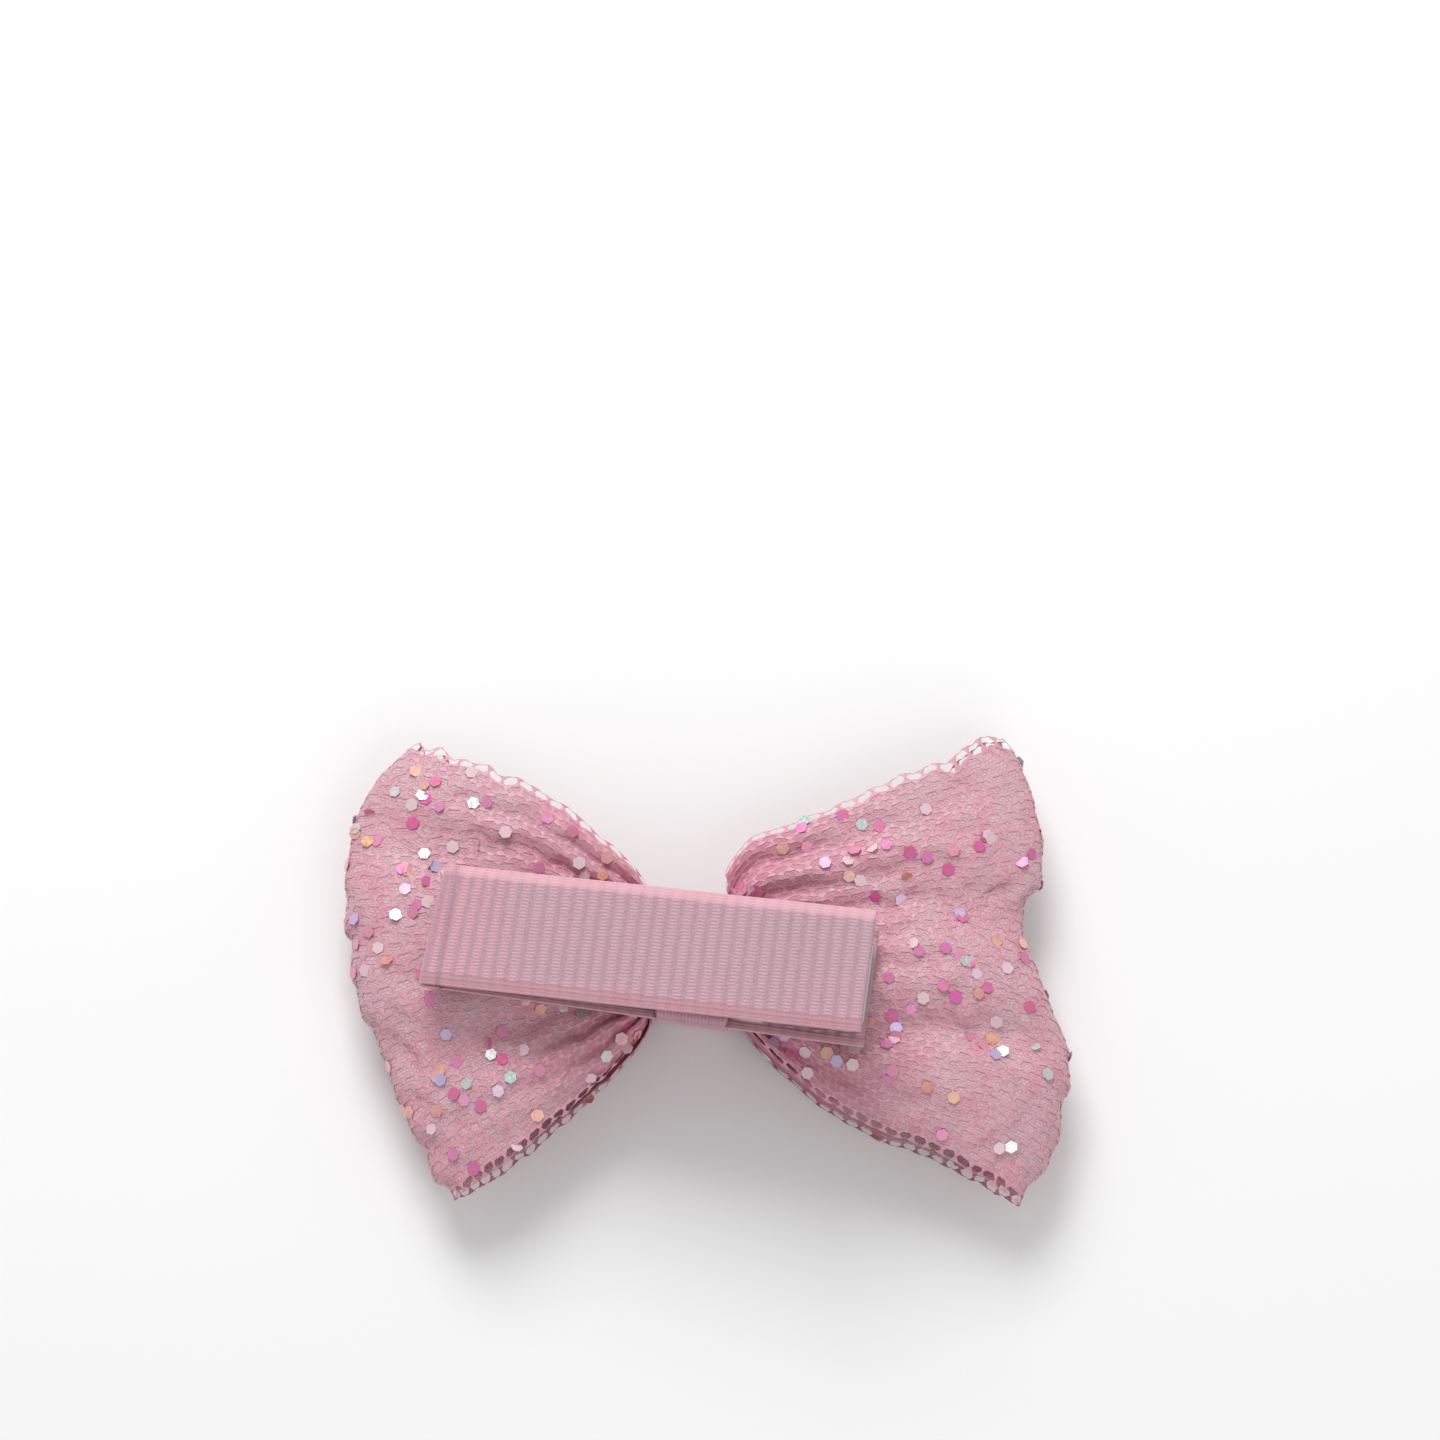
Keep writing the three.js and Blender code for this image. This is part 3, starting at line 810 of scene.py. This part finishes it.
def rounded_polygon(corners, radius):
    line = []
    count = len(corners)
    corners = np.array(corners, float)
    for i in range(count):
        corner = corners[i]
        ends = []
        for other in (corners[i - 1], corners[(i + 1) % count]):
            side = other - corner
            ends.append(corner + side * radius / np.linalg.norm(side))
        t = np.linspace(0, 1, 8)[:, None]
        line.append((1 - t) ** 2 * ends[0] + 2 * t * (1 - t) * corner + t**2 * ends[1])
    line = np.vstack(line)
    return np.vstack([line, line[:1]])


def wrap_piece():
    """The waist wrap: a ribbon folded lengthwise, round the waist and the lined fixed arm."""
    growth = WRAP_THICKNESS / 2
    shoulder, neck = WRAP_SHOULDER
    half = [(WRAP_FRONT_HALF + growth, WRAP_THICKNESS - CLIP_LIFT - growth),
            (WRAP_WAIST_HALF + growth, neck), (WRAP_ARM_HALF + growth, shoulder),
            (WRAP_ARM_HALF + growth, WRAP_GAP + growth)]
    corners = half + [(-v, w) for v, w in half[::-1]]
    middle = rounded_polygon(corners, WRAP_CORNER)[::-1]

    def puckers(v, b):
        # Where the puckers sink the wrap, ribbon_piece also paints shade into its colour.
        folds = 0.07 * bump(b + 0.25 * np.sin(v * 0.8), 1.1, 0.28)
        return folds + 0.06 * bump(b - 0.2 * np.sin(v * 0.6 + 1), -1.2, 0.25)

    def turned_under(b, level):
        """Folds the ribbon's long edges under, to make it as narrow as the wrap."""
        straight = WRAP_WIDTH / 2 - WRAP_FOLD_RADIUS
        past = np.abs(b) - straight
        turn = np.clip(past / WRAP_FOLD_RADIUS, 0, math.pi)
        rest = np.maximum(0, past - math.pi * WRAP_FOLD_RADIUS)
        reach = WRAP_FOLD_RADIUS + level
        return (np.sign(b) * (np.minimum(np.abs(b), straight) + reach * np.sin(turn) - rest),
                reach * np.cos(turn) - WRAP_FOLD_RADIUS)

    def place(p, b):
        return on_clip(WAIST_ALONG - b, p[..., 0], p[..., 1])

    wrap = ribbon_piece("waist_wrap", middle, WRAP_CLOTH, place, "bow", closed=True, extra=puckers,
                        fold=turned_under)
    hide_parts("centre_wrap")


# ---- Wires and threads ----

def ring_faces(count, sides):
    """Quads between stacked rings of vertices, and a flat face on the first and the last."""
    faces = []
    for i in range(count - 1):
        for j in range(sides):
            k = (j + 1) % sides
            faces.append((i * sides + j, i * sides + k, (i + 1) * sides + k, (i + 1) * sides + j))
    faces.append(tuple(range(sides))[::-1])
    faces.append(tuple((count - 1) * sides + j for j in range(sides)))
    return faces


def tube(name, line, radius, sides, body, wobble=None):
    """A closed tube along points, with flat round ends. wobble(angle, step) scales its radius."""
    line = np.asarray(line, float)
    ahead = np.gradient(line, axis=0)
    ahead /= np.linalg.norm(ahead, axis=1, keepdims=True)
    side = np.cross(ahead[0], (0.3, 0.9, 0.2))
    rings = []
    angle = np.arange(sides) * math.tau / sides
    for step, (point, forward) in enumerate(zip(line, ahead)):
        side = side - forward * np.dot(side, forward)
        side /= np.linalg.norm(side)
        other = np.cross(forward, side)
        scale = radius * (wobble(angle, step) if wobble else np.ones(sides))
        rings.append(point + scale[:, None] * (np.cos(angle)[:, None] * side
                                               + np.sin(angle)[:, None] * other))
    return new_piece(name, np.vstack(rings), ring_faces(len(rings), sides), body)


def spring_piece():
    """The torsion spring: one leg on each arm's tail, and its coil round the pin."""
    low = (LEG_LENGTH, -COIL_HALF_LENGTH, WIRE_RADIUS + LEG_GAP - PIN_LIFT)
    turn = np.linspace(0, 1, int(COIL_TURNS * 36))
    angle = -math.pi / 2 - turn * COIL_TURNS * math.tau
    coil = np.stack([COIL_RADIUS * np.cos(angle), lerp(-COIL_HALF_LENGTH, COIL_HALF_LENGTH, turn),
                     COIL_RADIUS * np.sin(angle)], -1)
    reach = MOVING_FACE - WIRE_RADIUS - LEG_GAP
    high = (LEG_LENGTH * math.cos(WEDGE) - reach * math.sin(WEDGE), COIL_HALF_LENGTH,
            LEG_LENGTH * math.sin(WEDGE) + reach * math.cos(WEDGE))
    legs = [lerp(np.array(low), coil[0], np.linspace(0, 1, 16, endpoint=False)[:, None]),
            lerp(coil[-1], np.array(high), np.linspace(0, 1, 17)[1:, None])]
    line = np.vstack([legs[0], coil, legs[1]])
    for _ in range(3):
        line[1:-1] = (line[:-2] + 2 * line[1:-1] + line[2:]) / 4
    points = on_clip(PIN_ALONG + line[:, 0], line[:, 1], PIN_LIFT + line[:, 2])
    spring = tube("spring_coil", points, WIRE_RADIUS, 12, None)
    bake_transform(spring)
    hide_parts("torsion_spring")
    paint(spring, WIRE_PAINT)


def thread_piece():
    """Two-ply sewing thread wound round the gathered waist."""
    half_height = WAIST_HALF_HEIGHT + THREAD_GAP + THREAD_RADIUS
    half_depth = WAIST_HALF_DEPTH + THREAD_GAP + THREAD_RADIUS
    steps = THREAD_TURNS * 90
    turn = np.linspace(0, THREAD_TURNS * math.tau, steps)
    corner = np.abs(np.cos(turn) / half_height) ** 8 + np.abs(np.sin(turn) / half_depth) ** 8
    reach = corner ** (-1 / 8)
    u = WAIST_ALONG + (turn / turn[-1] - 0.5) * THREAD_TURNS * THREAD_PITCH
    line = on_clip(u, reach * np.cos(turn), MID_HEIGHT - CLIP_LIFT + reach * np.sin(turn))

    def twist(angle, step):
        return 0.86 + 0.14 * np.cos(2 * angle - step * 0.55)

    thread = tube("waist_thread", line, THREAD_RADIUS, 10, "bow", twist)
    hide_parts("gathering_thread")
    paint(thread, thread_paint())


def glue_piece():
    """A pressed pad of hot glue: its edge bulges and wanders."""
    low, high = (np.array(corner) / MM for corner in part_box("glue_pad"))
    around = np.linspace(0, math.tau, 72, endpoint=False)
    level = np.linspace(-1, 1, 9)
    unit = (np.abs(np.cos(around)) ** 5 + np.abs(np.sin(around)) ** 5) ** -0.2
    wander = 1 - 0.03 * (1 + np.sin(5 * around + 1)) - 0.02 * (1 + np.sin(11 * around))
    rings = []
    for rise in level:
        swell = 0.9 + 0.1 * math.sqrt(1 - rise**2)
        u = WAIST_ALONG + GLUE_LENGTH / 2 * unit * wander * swell * np.cos(around)
        v = GLUE_WIDTH / 2 * unit * wander * swell * np.sin(around)
        w = (low[2] + high[2]) / 2 - CLIP_LIFT + rise * (high[2] - low[2]) / 2
        rings.append(on_clip(u, v, np.full_like(u, w)))
    faces = ring_faces(len(rings), len(around))
    glue = new_piece("glue_blob", np.vstack(rings), faces, "bow")
    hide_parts("glue_pad")
    paint(glue, glue_paint())


# ---- Steel ----

def steel_piece(name, node, body, made):
    """A CAD node's shape with its stamped edges rounded."""
    mesh = frame["nodes"][node].data.copy()
    piece = bpy.data.objects.new(name, mesh)
    bpy.context.scene.collection.objects.link(piece)
    work = bmesh.new()
    work.from_mesh(mesh)
    bmesh.ops.remove_doubles(work, verts=work.verts, dist=1e-6)
    bmesh.ops.dissolve_limit(work, angle_limit=math.radians(1), verts=work.verts, edges=work.edges)
    sharp = [e for e in work.edges if e.is_manifold and e.calc_face_angle() > math.radians(40)]
    bmesh.ops.bevel(work, geom=sharp, offset=STAMPED_EDGE * MM, segments=2, profile=0.5,
                    affect="EDGES", clamp_overlap=True)
    work.to_mesh(mesh)
    work.free()
    mesh.shade_smooth()
    mesh.set_sharp_from_angle(angle=math.radians(35))
    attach(piece, body)
    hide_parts(node)
    paint(piece, made)


# ---- Glitter ----

def flake_places(random, strip):
    """Places on the strip: some alone and some in clusters."""
    layers = 4
    places = []
    for layer in range(layers):
        start, end = (layer + f for f in (0.12, 0.985))
        if layer % 2:
            start, end = layer + 0.015, layer + 0.88
        lone = np.c_[random.uniform(start, end, FLAKES_PER_LAYER),
                     random.uniform(0.01, 0.99, FLAKES_PER_LAYER)]
        places.extend(lone)
        for _ in range(FLAKE_CLUSTERS_PER_LAYER):
            centre = (random.uniform(start, end), random.uniform(0.05, 0.95))
            count = random.integers(3, 8)
            spread = random.normal(0, 1, (count, 2)) * (0.045, 0.04)
            places.extend(np.clip(centre + spread, (start, 0.01), (end, 0.99)))
    places = np.array(places)
    return places[:, 0] * strip.length / layers, places[:, 1]


def glitter_piece(strip, seed=11):
    random = np.random.default_rng(seed)
    x, y = flake_places(random, strip)
    count = len(x)
    shares = np.array([t[0] for t in FLAKE_TINTS])
    kind = random.choice(len(FLAKE_TINTS), count, p=shares / shares.sum())
    ring = np.arange(6) * math.tau / 6
    points, faces, tints, sparkle = [], [], [], []
    centres = strip.at(x, y, random.uniform(0.04, 0.16, count))
    normals = strip.normal(x, y)
    for i in range(count):
        tilt = abs(random.normal(0, 11)) + (55 if random.random() < 0.03 else 0)
        lean = random.uniform(0, math.tau)
        normal = Vector(normals[i])
        side = normal.orthogonal().normalized()
        other = normal.cross(side)
        axis = side * math.cos(lean) + other * math.sin(lean)
        turned = Quaternion(axis, math.radians(tilt))
        spin = random.uniform(0, math.tau)
        size = FLAKE_SIZE / math.sqrt(3) * random.uniform(0.9, 1.06)
        first = len(points)
        for level in (0.5, -0.5):
            for angle in ring:
                flat = size * (side * math.cos(angle + spin) + other * math.sin(angle + spin))
                point = turned @ (flat + normal * level * FLAKE_THICKNESS)
                points.append(Vector(centres[i]) + point)
        faces.append(tuple(first + k for k in range(6)))
        faces.append(tuple(first + 6 + k for k in reversed(range(6))))
        for k in range(6):
            n = (k + 1) % 6
            faces.append((first + k, first + 6 + k, first + 6 + n, first + n))
        _, colour, metal = FLAKE_TINTS[kind[i]]
        faint = random.uniform(0, 0.5)
        tints.extend([lerp(np.array(colour), np.array(PALE_PINK), faint)] * 12)
        sparkle.extend([metal * (1 - faint)] * 12)
    points = np.array([tuple(p) for p in points])
    points[:, 2] = np.maximum(points[:, 2], LOWEST)
    glitter = new_piece("glitter", points, faces, "bow", smooth=False,
                        values={"tint": np.array(tints), "sparkle": np.array(sparkle)})
    paint(glitter, glitter_paint())


# ---- Camera, light and floor ----

def add_camera():
    data = bpy.data.cameras.new("camera")
    data.sensor_width = SENSOR
    data.lens = SENSOR * VIEW_DISTANCE / VIEW_WIDTH
    camera = bpy.data.objects.new("camera", data)
    back = Vector((0, -math.cos(VIEW_ELEVATION), math.sin(VIEW_ELEVATION)))
    camera.location = (Vector(VIEW_TARGET) + VIEW_DISTANCE * back) * MM
    camera.rotation_mode = "QUATERNION"
    camera.rotation_quaternion = back.to_track_quat("Z", "Y")
    bpy.context.scene.collection.objects.link(camera)
    bpy.context.scene.camera = camera


def add_area_light(name, place, size, power):
    data = bpy.data.lights.new(name, "AREA")
    data.size = size * MM
    data.energy = power
    light = bpy.data.objects.new(name, data)
    light.location = Vector(place) * MM
    light.rotation_mode = "QUATERNION"
    light.rotation_quaternion = light.location.to_track_quat("Z", "Y")
    bpy.context.scene.collection.objects.link(light)


def add_studio():
    world = bpy.data.worlds.new("studio")
    world.use_nodes = True
    background = world.node_tree.nodes["Background"]
    background.inputs["Color"].default_value = (1, 1, 1, 1)
    background.inputs["Strength"].default_value = SKY_STRENGTH
    bpy.context.scene.world = world
    bpy.context.scene.view_settings.view_transform = "Standard"
    add_area_light("key_light", KEY_PLACE, KEY_SIZE, KEY_POWER)
    add_area_light("fill_light", FILL_PLACE, FILL_SIZE, FILL_POWER)
    half = FLOOR_HALF * MM
    corners = [(-half, -half, 0), (half, -half, 0), (half, half, 0), (-half, half, 0)]
    mesh = bpy.data.meshes.new("floor")
    mesh.from_pydata(corners, [], [(0, 1, 2, 3)])
    floor = bpy.data.objects.new("floor", mesh)
    bpy.context.scene.collection.objects.link(floor)
    material = bpy.data.materials.new("floor_paint")
    material.use_nodes = True
    shader = material.node_tree.nodes["Principled BSDF"]
    shader.inputs["Base Color"].default_value = (0.92, 0.92, 0.92, 1)
    shader.inputs["Roughness"].default_value = 0.8
    mesh.materials.append(material)


# ---- Assembly ----

RIBBON_PAINT = ribbon_paint()
WIRE_PAINT = steel_paint("bright_wire", (0.78, 0.78, 0.78), 0.2)
ARM_PAINT = steel_paint("nickel_plate", (0.7, 0.69, 0.67), 0.3)

add_camera()
add_studio()

backing_margin = BACKING_INSET / STRIP_WIDTH
net_strip = Strip(NET_DEPTH, 0, 0)
backing_outer = Strip(BACKING_OUTER_DEPTH, BACKING_OUTER_PULL, backing_margin)
backing_inner = Strip(BACKING_INNER_DEPTH, BACKING_INNER_PULL, backing_margin)

backing_piece(backing_outer, backing_inner)
net_piece(net_strip)
glitter_piece(net_strip)
lining_piece("near_lining", "pivot_arm_ribbon", on_jaw, -PIN_ALONG, MOVING_FACE + ARM_THICKNESS, 1,
             "jaw")
lining_piece("far_lining", "base_arm_ribbon", on_clip, 0, -ARM_THICKNESS, -1, "bow")
wrap_piece()
spring_piece()
thread_piece()
glue_piece()
steel_piece("fixed_arm", "base_arm", "bow", ARM_PAINT)
steel_piece("moving_arm", "pivot_arm", "jaw", ARM_PAINT)
steel_piece("pin", "hinge_pin", "bow", WIRE_PAINT)
